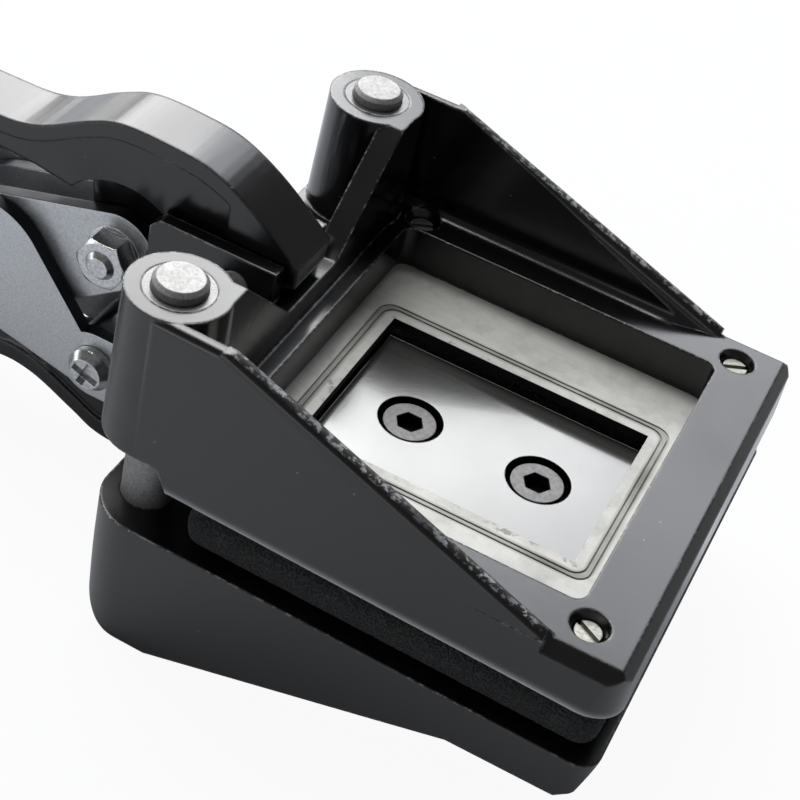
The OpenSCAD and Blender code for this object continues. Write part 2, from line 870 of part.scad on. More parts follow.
// Top edge of the upper handle from its nose over the hump and neck to the end
upper_top = curve([
    [wall_front_x - cut, hinge_rise + lug_rise], [hinge_x, hump_z - 5], [hinge_x - 8, hump_z - 1],
    [bolt_at.x + 6, hump_z], [bolt_at.x - 2, hump_z - 0.2], [bolt_at.x - 8, hump_z - 2.6],
    [centre_at.x + 5, neck_z + 1], [centre_at.x - 6, neck_z], [centre_at.x - 34, neck_z + 0.4],
    [upper_slide.x - 20, grip_z - 2.4], [end_x + 14, grip_z], [end_x + 3, grip_z - 3],
    [end_x, grip_z - end_drop]
]);

// Lower edge of the upper handle from its end to the arch over the inner links
upper_under = curve([
    [end_x, grip_z - end_drop], [end_x + 4, grip_z - 0.4 - grip_thickness],
    [end_x + 20, grip_z - grip_thickness],
    [upper_slide.x, grip_z - 3.8 - grip_thickness], [centre_at.x - 36, neck_z - 3.1 - neck_thickness],
    [centre_at.x - 12, neck_z - neck_thickness], [centre_at.x + 6, neck_z - 0.2 - neck_thickness]
]);

// Bottom edge of the lower handle from its nose round the bulge to the end
lower_bottom = curve([
    [wall_rear_x, lower_hinge.y - 6], [hinge_x - 6, bulge_z + 0.5], [screw_at.x + 6, bulge_z],
    [screw_at.x, bulge_z + 0.6], [screw_at.x - 5, bulge_z + 3], [centre_at.x + 8, bulge_z + bulge_rise],
    [centre_at.x - 2, bulge_z + bulge_rise - 0.2], [centre_at.x - 34, rest_z + 4.4],
    [lower_slide.x - 20, rest_z + 1.6], [end_x + 14, rest_z + 0.05], [end_x + 3, rest_z + 3],
    [end_x, rest_z + end_drop]
]);

// Upper edge of the lower handle from its end to the screw's boss
lower_over = curve([
    [end_x, rest_z + end_drop], [end_x + 4, rest_z + 0.4 + grip_thickness],
    [end_x + 20, rest_z + grip_thickness],
    [lower_slide.x, rest_z + 4.4 + grip_thickness], [centre_at.x - 36, bulge_z + grip_thickness],
    [centre_at.x - 12, bulge_z + bulge_rise + 4.4], [centre_at.x + 6, bulge_z + bulge_rise + 5.2]
]);

// Points of an edge between two places along X, moved by a height
function edge_part(edge, x0, x1, rise) = [for (p = edge) if (p.x > x0 && p.x < x1) p + [0, rise]];

// Slot that lets a slide pin travel towards the handle's end
module slide_slot(at, lean) {
    run = [-cos(lean), sin(lean)];
    taper_bar(at - slot_end * run, slot_half, at + (slot_travel + slot_end) * run, slot_half - tangent_ease);
}

module upper_handle() {
    nose_end = [wall_front_x - cut, hinge_rise + lug_corner];
    arch_top = bolt_at.y + bolt_boss_root;
    place()
    color(paint)
    difference() {
        union() {
            across(-half_handle, half_handle)
            difference() {
                polygon(concat(upper_top, upper_under, [
                    [bolt_at.x - arch_radius + arm_step, arch_top], [bolt_at.x + arch_radius, arch_top],
                    [hinge_x - nose_radius, hinge_rise], nose_end
                ]));
                translate(bolt_at)
                circle(arch_radius);
            }
            across(-half_handle, half_handle)
            taper_bar(upper_hinge, nose_radius, upper_hinge + [cut, lug_rise], nose_radius - nose_taper);
            across(-half_tongue, half_tongue)
            taper_bar(bolt_at, bolt_boss, bolt_at + [0, arch_radius + cut], bolt_boss_root);
        }
        both_sides()
        across(half_handle - handle_recess, half_handle + cut)
        polygon(concat(
            edge_part(upper_top, end_x + handle_rim, hinge_x - handle_rim, -handle_rim),
            [[end_x + handle_rim, mid_z], [hinge_x - handle_rim, mid_z]]
        ));
        cross_pin(upper_hinge, hinge_pin / 2 + running_clearance, half_handle + cut);
        cross_pin(bolt_at, link_bolt_diameter / 2 + running_clearance, half_handle + cut);
        across(-half_handle - cut, half_handle + cut)
        slide_slot(upper_slide, slot_lean);
    }
}

// Pocket in the lower handle's sides for the inner links' rear arms, open and closed
module arm_pocket() {
    tail = link_tail + pocket_clearance;
    hub = inner_arm + pocket_clearance;
    shut = centre_at - [0, closing_dip];
    back = lower_slide - [slot_travel, 0];
    across(half_tongue, half_handle + cut)
    taper_bar(lower_slide, tail, back, tail - tangent_ease);
    across(half_tongue, half_handle + cut)
    taper_bar(lower_slide, tail, centre_at, hub);
    across(half_tongue, half_handle + cut)
    taper_bar(back, tail, shut, hub);
}

module lower_handle() {
    place()
    color(paint)
    difference() {
        union() {
            across(-half_handle, half_handle)
            polygon(concat(lower_bottom, lower_over, [screw_at, lower_hinge]));
            across(-half_handle, half_handle)
            taper_bar(screw_at, screw_boss, lower_hinge, nose_radius);
            across(-half_handle, half_handle)
            taper_bar(lower_hinge, nose_radius, lower_hinge + [cut, -lug_rise], nose_radius - nose_taper);
        }
        both_sides()
        across(half_handle - handle_recess, half_handle + cut)
        difference() {
            polygon(concat(
                edge_part(lower_bottom, end_x + handle_rim, base_rear_x, handle_rim),
                [[end_x + handle_rim, mid_z], [base_rear_x, mid_z]]
            ));
            translate(screw_at)
            circle(outer_nose);
        }
        cross_pin(lower_hinge, hinge_pin / 2 + running_clearance, half_handle + cut);
        both_sides()
        arm_pocket();
        cross_pin(screw_at, link_screw_shoulder / 2 + seat_clearance, half_handle + cut);
        across(-half_handle - cut, half_handle + cut)
        slide_slot(lower_slide, -slot_lean);
    }
}

module inner_link() {
    place()
    color(steel)
    difference() {
        union() {
            across(inner_y, inner_out)
            taper_bar(bolt_at, inner_nose, centre_at, inner_hub);
            across(inner_y, inner_out)
            taper_bar(centre_at, inner_arm, lower_slide, link_tail);
        }
        cross_pin(bolt_at, link_bolt_diameter / 2 + seat_clearance, inner_out + cut);
        cross_pin(centre_at, centre_pin / 2 + seat_clearance, inner_out + cut);
        cross_pin(lower_slide, slide_pin / 2 + seat_clearance, inner_out + cut);
    }
}

module inner_link_left() {
    inner_link();
}

module inner_link_right() {
    mirror([0, 1, 0])
    inner_link();
}

module outer_link() {
    place()
    color(steel)
    difference() {
        union() {
            across(outer_y, outer_out)
            taper_bar(screw_at, outer_nose, screw_at + [nose_run, 0], outer_nose - tangent_ease);
            across(outer_y, outer_out)
            taper_bar(waist_at, waist, centre_at, outer_hub);
            across(outer_y, outer_out)
            taper_bar(centre_at, outer_hub - arm_step, upper_slide, link_tail);
        }
        cross_pin(screw_at, link_screw_shoulder / 2 + running_clearance, outer_out + cut);
        cross_pin(centre_at, centre_pin / 2 + centre_clearance, outer_out + cut);
        cross_pin(upper_slide, slide_pin / 2 + seat_clearance, outer_out + cut);
    }
}

module outer_link_left() {
    outer_link();
}

module outer_link_right() {
    mirror([0, 1, 0])
    outer_link();
}

module upper_hinge_pin() {
    place()
    color(steel)
    cross_pin(upper_hinge, hinge_pin / 2, lug_y + lug_thickness);
}

module lower_hinge_pin() {
    place()
    color(steel)
    cross_pin(lower_hinge, hinge_pin / 2, notch_half + lower_pin_grip);
}

// Hexagonal head or nut over a washer, with its outer corners turned off
module hex_across(side) {
    face = nut_face * link_bolt_hex;
    translate([bolt_at.x, side * (inner_out + link_washer_thickness), bolt_at.y])
    rotate([-90 * side, 0, 0])
    intersection() {
        cylinder(r = link_bolt_hex / sqrt(3), h = link_bolt_hex_height, $fn = 6);
        cylinder(r1 = face + link_bolt_hex_height / tan(nut_chamfer), r2 = face, h = link_bolt_hex_height);
    }
}

module link_bolt() {
    reach = inner_out + link_washer_thickness;
    end = reach + link_bolt_hex_height;
    place()
    color(steel)
    union() {
        hex_across(1);
        translate([bolt_at.x, reach + cut, bolt_at.y])
        rotate([90, 0, 0])
        cylinder(r = link_bolt_diameter / 2, h = reach + cut + end);
        translate([bolt_at.x, -end, bolt_at.y])
        rotate([90, 0, 0])
        cylinder(r1 = link_bolt_diameter / 2, r2 = link_bolt_diameter / 2 - bolt_end, h = bolt_end);
    }
}

module link_nut() {
    place()
    color(steel)
    difference() {
        hex_across(-1);
        cross_pin(bolt_at, link_bolt_diameter / 2 + seat_clearance, inner_out + 2 * link_bolt_hex_height);
    }
}

module link_washers() {
    place()
    color(steel)
    both_sides()
    difference() {
        translate([bolt_at.x, inner_out, bolt_at.y])
        rotate([-90, 0, 0])
        cylinder(r = link_washer / 2, h = link_washer_thickness);
        cross_pin(bolt_at, link_bolt_diameter / 2 + seat_clearance, inner_out + link_bolt_hex_height);
    }
}

module link_screws() {
    under = outer_out + plate_gap / 2;
    r = link_screw_head / 2;
    dome = link_screw_head_height - pan_edge;
    place()
    color(steel)
    both_sides()
    translate([screw_at.x, 0, screw_at.y])
    rotate([-90, 0, 0])
    difference() {
        union() {
            translate([0, 0, half_tongue])
            cylinder(r = link_screw_shoulder / 2, h = under + cut - half_tongue);
            translate([0, 0, under])
            cylinder(r = r, h = pan_edge);
            translate([0, 0, under + pan_edge])
            cylinder(r1 = r, r2 = r - pan_dome, h = dome);
        }
        for (a = [cross_turn, cross_turn + 90])
        rotate([0, 0, a])
        translate([-cross_reach, -link_screw_recess / 2, under + link_screw_head_height - cross_depth])
        cube([2 * cross_reach, link_screw_recess, cross_depth + cut]);
    }
}

module centre_pivot() {
    place()
    color(oxide)
    cross_pin(centre_at, centre_pin / 2, outer_out);
}

module upper_slide_pin() {
    place()
    color(steel)
    cross_pin(upper_slide, slide_pin / 2, outer_out);
}

module lower_slide_pin() {
    place()
    color(steel)
    cross_pin(lower_slide, slide_pin / 2, inner_out);
}

upper_frame();
die_plate();
die_screws();
guide_bush_left();
guide_bush_right();
guide_pin_left();
guide_pin_right();
base_casting();
punch_block();
punch_screws();
foam_pad();
upper_handle();
lower_handle();
inner_link_left();
inner_link_right();
outer_link_left();
outer_link_right();
upper_hinge_pin();
lower_hinge_pin();
link_bolt();
link_nut();
link_washers();
link_screws();
centre_pivot();
upper_slide_pin();
lower_slide_pin();
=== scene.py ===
import math

import bpy
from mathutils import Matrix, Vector


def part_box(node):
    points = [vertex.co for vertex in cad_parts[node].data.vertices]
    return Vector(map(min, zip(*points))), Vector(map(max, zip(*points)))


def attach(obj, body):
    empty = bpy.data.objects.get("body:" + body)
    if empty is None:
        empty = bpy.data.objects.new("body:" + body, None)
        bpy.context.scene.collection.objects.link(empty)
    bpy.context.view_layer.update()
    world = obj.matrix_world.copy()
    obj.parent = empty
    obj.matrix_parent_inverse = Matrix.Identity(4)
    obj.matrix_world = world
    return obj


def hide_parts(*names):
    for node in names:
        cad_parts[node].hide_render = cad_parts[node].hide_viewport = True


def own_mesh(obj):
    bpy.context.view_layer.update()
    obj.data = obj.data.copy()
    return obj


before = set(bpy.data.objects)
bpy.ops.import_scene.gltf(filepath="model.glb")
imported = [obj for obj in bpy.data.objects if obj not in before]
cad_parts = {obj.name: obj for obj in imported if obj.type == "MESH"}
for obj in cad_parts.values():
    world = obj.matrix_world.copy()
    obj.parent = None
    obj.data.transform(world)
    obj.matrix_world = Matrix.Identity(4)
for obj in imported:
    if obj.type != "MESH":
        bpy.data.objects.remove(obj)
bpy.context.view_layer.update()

bl_info = {
    "name": "Photo Die Cutter",
    "version": (1, 0, 0),
    "blender": (4, 5, 0),
    "location": "3D View > Sidebar > Cutter",
    "description": "Finishes, foam pad and studio for a hand-held photo die cutter",
    "category": "Object",
}

MM = 0.001

# Middle of the two engraved rings, from the edge of the aperture
RING_MIDDLE = 2.6 * MM
# Foot of the crests of the cheeks, and how steeply they rise to the rear
CREST_FOOT = Vector((109.75, 0, 42.8)) * MM
CREST_RISE = math.radians(21)
# Half height of the aperture, so large that a point's height doesn't count in its distance
ANY_HEIGHT = 1.0
# Rays that the shading of a rounded edge takes at each point
EDGE_RAYS = 6

# Faces of a handle that meet at less than this angle are parts of one curve
HANDLE_CURVE = math.radians(24)
# Vertices of a copied solid that are closer than this are one
SAME_PLACE = 0.001 * MM

# How much smaller the foam's block is than its solid, so that its rough surface stays inside
FOAM_TRIM = Vector((0.5, 0.5, 0.4)) * MM
# Edges of the foam's block that rise more than this are upright
UPRIGHT_RISE = 1 * MM
# How much taller than the punch the block is that cuts the foam's hole
HOLE_EXTRA = 20 * MM
# Size of the lumps between the foam's pits, in cells
LUMP_CELLS = 1.6

# Share of plain white in what the camera and the mirrors see of the floor
CAMERA_WHITE = 0.94
MIRROR_WHITE = 0.12
# Soft boxes: place, aim and sides in metres, brightness of the face, colour
SOFT_BOXES = {
    "key_soft_box": ((-0.519, 0.665, 0.60), (0.03, 0, 0.06), (0.66, 0.52), 6.2, "#ffffff"),
    "front_soft_box": ((0.0, 0.78, 0.68), (0.08, 0, 0.04), (0.48, 0.40), 3.3, "#f6f9ff"),
    "top_soft_box": ((-0.32, 0.26, 1.0), (0.08, 0, 0.04), (0.6, 0.6), 7.6, "#ffffff"),
}
# Window in the ceiling that the punch mirrors, in the same order, and its turn
WINDOW = ((-0.159, 1.067, 1.0), (-0.159, 1.067, 0), (0.29, 0.149), 2.8, "#ffffff")
WINDOW_TURN = math.radians(36.4)

# Camera: place in metres, turns in degrees, sensor in millimetres, nearest depth in metres
CAMERA_PLACE = (0.12902, -0.21093, 0.22029)
CAMERA_TURNS = (48.497, -11.600, 25.444)
SENSOR_WIDTH = 36.0
NEAREST_DEPTH = 0.01


def srgb(code, alpha=1.0):
    """A hex colour as linear red, green, blue and alpha."""
    parts = [int(code[i:i + 2], 16) / 255 for i in (1, 3, 5)]
    return [c / 12.92 if c <= 0.04045 else ((c + 0.055) / 1.055) ** 2.4 for c in parts] + [alpha]


def per_mm(size):
    """Texture scale at which one cell of a pattern measures size millimetres."""
    return 1 / (size * MM)


def add(tree, kind, inputs=None, **settings):
    """Adds a node with its settings, its fixed values and its links."""
    node = tree.nodes.new(kind)
    for key, value in settings.items():
        setattr(node, key, value)
    for key, value in (inputs or {}).items():
        if isinstance(value, bpy.types.NodeSocket):
            tree.links.new(value, node.inputs[key])
        else:
            node.inputs[key].default_value = value
    return node


def new_material(name):
    """A material with an empty tree, and that tree."""
    material = bpy.data.materials.new(name)
    material.use_nodes = True
    material.node_tree.nodes.clear()
    return material, material.node_tree


def wear(material, *nodes):
    """Gives CAD nodes a material."""
    for name in nodes:
        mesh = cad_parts[name].data
        mesh.materials.clear()
        mesh.materials.append(material)


def fresh_start():
    """Leaves edit mode and deselects everything."""
    if bpy.context.object and bpy.context.object.mode != "OBJECT":
        bpy.ops.object.mode_set(mode="OBJECT")
    bpy.ops.object.select_all(action="DESELECT")


def pick(piece):
    """Makes a piece the only selected one, and the active one."""
    fresh_start()
    piece.select_set(True)
    bpy.context.view_layer.objects.active = piece


def block(middle, sides):
    """Adds a block round a middle."""
    fresh_start()
    bpy.ops.mesh.primitive_cube_add(size=1, location=middle)
    piece = bpy.context.object
    piece.scale = sides
    bpy.ops.object.transform_apply(location=True, rotation=True, scale=True)
    return piece


def finish_with(piece, name, kind, **settings):
    """Adds a modifier to the picked piece and applies it."""
    modifier = piece.modifiers.new(name, kind)
    for key, value in settings.items():
        setattr(modifier, key, value)
    bpy.ops.object.modifier_apply(modifier=modifier.name)


def tint(name, description, code):
    """Colour setting with a hex default."""
    return bpy.props.FloatVectorProperty(name=name, description=description, subtype="COLOR", size=4,
                                         min=0.0, max=1.0, default=srgb(code))


def length(name, description, size):
    """Length setting with a default in millimetres."""
    return bpy.props.FloatProperty(name=name, description=description, default=size * MM, unit="LENGTH")


class CutterFinishes(bpy.types.PropertyGroup):
    """Colours and edge radii of the cutter's finishes"""
    enamel: tint("Enamel", "Black stove enamel on the castings", "#08080a")
    # Also the colour of the painted highlight along the lower edge of the upper casting
    casting: tint("Bare casting", "Zinc that shows where the enamel has chipped", "#a9abae")
    die: tint("Die steel", "Ground face of the die plate", "#b9b9b5")
    punch: tint("Punch steel", "Ground face of the punch", "#6b6b69")
    smear: tint("Smear", "Oil and glue left on the ground steel", "#61605b")
    pin: tint("Pin steel", "Turned ends of the guide pins and hinge pins", "#8f8f8e")
    bush: tint("Bush steel", "Oiled sintered bushes", "#6b6b6b")
    link: tint("Link steel", "Rolled plates of the links", "#c6c8ca")
    plating: tint("Plating", "Nickel on the screws, bolt and nut", "#d2d3d4")
    zinc: tint("Dull zinc", "Handled zinc on the die's screws", "#a09f98")
    # Also the black of the painted shade on the walls of the die's aperture
    oxide: tint("Oxide", "Black oxide on the cap screws and centre pin", "#0d0d0e")
    rubbed: tint("Rubbed oxide", "Tops of the cap screws, rubbed grey", "#706f6f")
    foam: tint("Foam", "Open-cell rubber of the stripper pad", "#1a1a1b")
    edge: length("Edge radius", "Softness of the castings' edges", 0.6)
    grip_edge: length("Handle edge radius", "Softness of the handles' edges", 0.8)


class CutterFoam(bpy.types.PropertyGroup):
    """Sizes of the foam pad"""
    corner: length("Corner", "Radius of the pad's corners", 3.0)
    taper: length("Taper", "How much the pad narrows to the rear on each side", 1.3)
    gap: length("Gap", "Gap between the pad and the punch", 1.0)
    cell: length("Cell", "Size of an open cell", 0.4)
    pits: length("Pits", "Depth of the cut cells", 0.2)


class CutterStage(bpy.types.PropertyGroup):
    """Studio sizes"""
    floor: bpy.props.FloatProperty(name="Floor", description="Side of the floor", default=6.0, unit="LENGTH")
    lens: bpy.props.FloatProperty(name="Lens", description="Focal length in millimetres", default=83.78)


def crest_wear(tree, place):
    """How close a point is to the crests of the cheeks, where hands rub the enamel off."""
    across = Vector((math.sin(CREST_RISE), 0, math.cos(CREST_RISE)))
    top = CREST_FOOT.dot(across)
    reach = add(tree, "ShaderNodeVectorMath", {0: place, 1: across}, operation="DOT_PRODUCT")
    close = add(tree, "ShaderNodeMapRange", {
        "Value": reach.outputs["Value"],
        "From Min": top - 0.3 * MM, "From Max": top - 0.1 * MM, "To Max": 0.6})
    height = add(tree, "ShaderNodeSeparateXYZ", {0: place})
    above = add(tree, "ShaderNodeMapRange", {
        "Value": height.outputs["Z"],
        "From Min": CREST_FOOT.z, "From Max": CREST_FOOT.z + 1 * MM})
    return add(tree, "ShaderNodeMath", {0: close.outputs["Result"], 1: above.outputs["Result"]},
               operation="MULTIPLY").outputs["Value"]


def hem_highlight(tree, place):
    """How close a point is to the lower edge of the upper casting, where a painted highlight makes the enamel
    pale.
    """
    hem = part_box("upper_frame")[0][2]
    height = add(tree, "ShaderNodeSeparateXYZ", {0: place}).outputs["Z"]
    close = add(tree, "ShaderNodeMapRange", {"Value": height, "From Min": hem + 2 * MM, "From Max": hem})
    fade = add(tree, "ShaderNodeMath", {0: close.outputs["Result"], 1: 4.0}, operation="POWER")
    above = add(tree, "ShaderNodeMath", {0: height, 1: hem - 1 * MM}, operation="GREATER_THAN")
    # Painted highlight: a pale band along the whole lower edge, brightest at the edge and fading upwards
    rubbed = add(tree, "ShaderNodeMath", {0: fade.outputs["Value"], 1: above.outputs["Value"]},
                 operation="MULTIPLY")
    return add(tree, "ShaderNodeMath", {0: rubbed.outputs["Value"], 1: 0.9},
               operation="MULTIPLY").outputs["Value"]


def gloss_black_enamel(finishes, name, softness, chipped):
    """Stove enamel over a zinc casting. It gives a deep black with a hard gloss, an orange peel that ruffles
    the reflections, dust specks, chips along the outer edges and crests where the pale casting shows, and a
    painted highlight that makes the lower edge pale."""
    material, tree = new_material(name)
    place = add(tree, "ShaderNodeTexCoord").outputs["Object"]
    rounded = add(tree, "ShaderNodeBevel", {"Radius": softness}, samples=EDGE_RAYS)
    flat = add(tree, "ShaderNodeNewGeometry")
    turn = add(tree, "ShaderNodeVectorMath", {0: rounded.outputs["Normal"], 1: flat.outputs["Normal"]},
               operation="DOT_PRODUCT")

    # Chips are flakes of bare casting, which lie on edges and crests and only in some areas of them
    corner = add(tree, "ShaderNodeMapRange", {
        "Value": turn.outputs["Value"], "From Min": 0.94, "From Max": 0.86})
    edge = add(tree, "ShaderNodeMath", {0: corner.outputs["Result"], 1: crest_wear(tree, place)},
               operation="MAXIMUM")
    flake = add(tree, "ShaderNodeTexNoise", {
        "Vector": place, "Scale": per_mm(1.1), "Detail": 5.0, "Roughness": 0.7})
    chips = add(tree, "ShaderNodeMapRange", {
        "Value": flake.outputs["Fac"], "From Min": 0.51, "From Max": 0.57, "To Max": chipped})
    patch = add(tree, "ShaderNodeTexNoise", {"Vector": place, "Scale": per_mm(11), "Detail": 1.0})
    area = add(tree, "ShaderNodeMapRange", {
        "Value": patch.outputs["Fac"], "From Min": 0.34, "From Max": 0.54})
    worn = add(tree, "ShaderNodeMath", {0: edge.outputs["Value"], 1: chips.outputs["Result"]},
               operation="MULTIPLY")
    worn = add(tree, "ShaderNodeMath", {0: worn.outputs["Value"], 1: area.outputs["Result"]},
               operation="MULTIPLY")

    # Dust is as pale as the casting, and so is the painted highlight along the lower edge
    dots = add(tree, "ShaderNodeTexVoronoi", {"Vector": place, "Scale": per_mm(5.5)})
    dust = add(tree, "ShaderNodeMapRange", {
        "Value": dots.outputs["Distance"], "From Min": 0.04, "From Max": 0.02, "To Max": 0.3})
    mark = add(tree, "ShaderNodeMath", {0: worn.outputs["Value"], 1: dust.outputs["Result"]},
               operation="MAXIMUM")
    # Painted highlight along the lower edge of the upper casting
    mark = add(tree, "ShaderNodeMath", {0: mark.outputs["Value"], 1: hem_highlight(tree, place)},
               operation="MAXIMUM")
    colour = add(tree, "ShaderNodeMix", {
        "Factor": mark.outputs["Value"], "A": finishes.enamel, "B": finishes.casting}, data_type="RGBA")

    # The gloss is cloudy, and goes where the enamel is rubbed or chipped
    cloud = add(tree, "ShaderNodeTexNoise", {"Vector": place, "Scale": per_mm(24), "Detail": 4.0})
    gloss = add(tree, "ShaderNodeMapRange", {
        "Value": cloud.outputs["Fac"],
        "From Min": 0.3, "From Max": 0.7, "To Min": 0.14, "To Max": 0.26})
    rubbed = add(tree, "ShaderNodeMath", {0: edge.outputs["Value"], 1: 0.75 * chipped}, operation="MULTIPLY")
    matt = add(tree, "ShaderNodeMath", {0: rubbed.outputs["Value"], 1: worn.outputs["Value"]},
               operation="MAXIMUM")
    rough = add(tree, "ShaderNodeMix", {
        "Factor": matt.outputs["Value"], "A": gloss.outputs["Result"], "B": 0.6})

    peel = add(tree, "ShaderNodeTexNoise", {"Vector": place, "Scale": per_mm(2.2), "Detail": 2.0})
    ruffle = add(tree, "ShaderNodeBump", {
        "Height": peel.outputs["Fac"], "Strength": 0.12, "Distance": 0.1 * MM,
        "Normal": rounded.outputs["Normal"]})
    dent = add(tree, "ShaderNodeBump", {
        "Height": worn.outputs["Value"], "Strength": 0.5, "Distance": 0.1 * MM,
        "Normal": ruffle.outputs["Normal"]}, invert=True)
    shader = add(tree, "ShaderNodeBsdfPrincipled", {
        "Base Color": colour.outputs["Result"], "Roughness": rough.outputs["Result"], "IOR": 1.6,
        "Normal": dent.outputs["Normal"]})
    add(tree, "ShaderNodeOutputMaterial", {"Surface": shader.outputs["BSDF"]})
    return material


def aperture_reach(tree, place):
    """Distance of a point from the aperture's straight sides, in metres."""
    low, high = (Vector(c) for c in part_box("punch_block"))
    half = (high - low) / 2
    half.z = ANY_HEIGHT
    offset = add(tree, "ShaderNodeVectorMath", {0: place, 1: (low + high) / 2}, operation="SUBTRACT")
    side = add(tree, "ShaderNodeVectorMath", {0: offset.outputs["Vector"]}, operation="ABSOLUTE")
    past = add(tree, "ShaderNodeVectorMath", {0: side.outputs["Vector"], 1: half}, operation="SUBTRACT")
    clear = add(tree, "ShaderNodeVectorMath", {0: past.outputs["Vector"], 1: (0, 0, 0)}, operation="MAXIMUM")
    reach = add(tree, "ShaderNodeVectorMath", {0: clear.outputs["Vector"]}, operation="LENGTH")
    return reach.outputs["Value"]


def ground_steel(finishes, name, face, sheen, metal, lines, film, grime):
    """Surface-ground tool steel. It gives a pale metal with fine grinding lines along the long side, rubbed
    patches that shine more, small smears, most of them round the aperture, painted shade that makes the
    aperture's walls black, patches of old glue, oil along the engraved rings, and a film of oil that mirrors
    the lamps. The lines are drawn about three times as coarse as real ones, so that they show."""
    material, tree = new_material(name)
    place = add(tree, "ShaderNodeTexCoord").outputs["Object"]
    reach = aperture_reach(tree, place)
    drawn = add(tree, "ShaderNodeMapping", {"Vector": place, "Scale": (0.05, 3.0, 1.0)})
    line = add(tree, "ShaderNodeTexNoise", {
        "Vector": drawn.outputs["Vector"], "Scale": per_mm(1), "Detail": 4.0})
    rub = add(tree, "ShaderNodeTexNoise", {"Vector": place, "Scale": per_mm(11), "Detail": 4.0})

    # Smears, more of them at the rim of the aperture
    blot = add(tree, "ShaderNodeTexNoise", {
        "Vector": place, "Scale": per_mm(2.6), "Detail": 5.0, "Roughness": 0.65})
    rim = add(tree, "ShaderNodeMapRange", {
        "Value": reach, "From Min": 0.1 * MM, "From Max": 4 * MM, "To Min": grime, "To Max": 0.0})
    dirt = add(tree, "ShaderNodeMath", {0: blot.outputs["Fac"], 1: rim.outputs["Result"]}, operation="ADD")
    spot = add(tree, "ShaderNodeMapRange", {
        "Value": dirt.outputs["Value"], "From Min": 0.69, "From Max": 0.79, "To Max": 0.7})

    # Oil in a band along the rings
    gap = add(tree, "ShaderNodeMath", {0: reach, 1: RING_MIDDLE}, operation="SUBTRACT")
    off = add(tree, "ShaderNodeMath", {0: gap.outputs["Value"]}, operation="ABSOLUTE")
    band = add(tree, "ShaderNodeMapRange", {
        "Value": off.outputs["Value"],
        "From Min": 0.6 * MM, "From Max": 1.2 * MM, "To Min": 1.0, "To Max": 0.0})
    mottle = add(tree, "ShaderNodeMapRange", {
        "Value": rub.outputs["Fac"],
        "From Min": 0.25, "From Max": 0.65, "To Min": 2.5 * grime, "To Max": 6 * grime})
    stain = add(tree, "ShaderNodeMath", {0: band.outputs["Result"], 1: mottle.outputs["Result"]},
                operation="MULTIPLY")

    # Grinding lines and a haze of glue, and the strongest mark at each point
    streak = add(tree, "ShaderNodeMapRange", {
        "Value": line.outputs["Fac"], "From Min": 0.35, "From Max": 0.75, "To Max": lines})
    haze = add(tree, "ShaderNodeTexNoise", {
        "Vector": place, "Scale": per_mm(5), "Detail": 6.0, "Roughness": 0.7})
    glue = add(tree, "ShaderNodeMapRange", {
        "Value": haze.outputs["Fac"], "From Min": 0.42, "From Max": 0.7, "To Max": 2.4 * grime})
    mark = add(tree, "ShaderNodeMath", {0: spot.outputs["Result"], 1: streak.outputs["Result"]},
               operation="MAXIMUM")
    mark = add(tree, "ShaderNodeMath", {0: mark.outputs["Value"], 1: stain.outputs["Value"]},
               operation="MAXIMUM")
    mark = add(tree, "ShaderNodeMath", {0: mark.outputs["Value"], 1: glue.outputs["Result"]},
               operation="MAXIMUM")
    colour = add(tree, "ShaderNodeMix", {
        "Factor": mark.outputs["Value"], "A": face, "B": finishes.smear}, data_type="RGBA")

    # Painted shade: the aperture's walls are painted black with the oxide colour
    flat = add(tree, "ShaderNodeNewGeometry")
    facing = add(tree, "ShaderNodeSeparateXYZ", {0: flat.outputs["Normal"]})
    upright = add(tree, "ShaderNodeMapRange", {
        "Value": facing.outputs["Z"], "From Min": 0.6, "From Max": 0.3})
    inner = add(tree, "ShaderNodeMapRange", {"Value": reach, "From Min": 0.3 * MM, "From Max": 0.2 * MM})
    wall = add(tree, "ShaderNodeMath", {0: upright.outputs["Result"], 1: inner.outputs["Result"]},
               operation="MULTIPLY")
    colour = add(tree, "ShaderNodeMix", {
        "Factor": wall.outputs["Value"],
        "A": colour.outputs["Result"], "B": finishes.oxide}, data_type="RGBA")

    rough = add(tree, "ShaderNodeMapRange", {
        "Value": rub.outputs["Fac"],
        "From Min": 0.3, "From Max": 0.7, "To Min": sheen[0], "To Max": sheen[1]})
    rounded = add(tree, "ShaderNodeBevel", {"Radius": 0.2 * MM}, samples=EDGE_RAYS)
    grooves = add(tree, "ShaderNodeBump", {
        "Height": line.outputs["Fac"], "Strength": 0.3 * lines, "Distance": 0.05 * MM,
        "Normal": rounded.outputs["Normal"]})
    shader = add(tree, "ShaderNodeBsdfPrincipled", {
        "Base Color": colour.outputs["Result"], "Metallic": metal, "Roughness": rough.outputs["Result"],
        "Coat Weight": film, "Coat Roughness": 0.08, "Normal": grooves.outputs["Normal"]})
    add(tree, "ShaderNodeOutputMaterial", {"Surface": shader.outputs["BSDF"]})
    return material


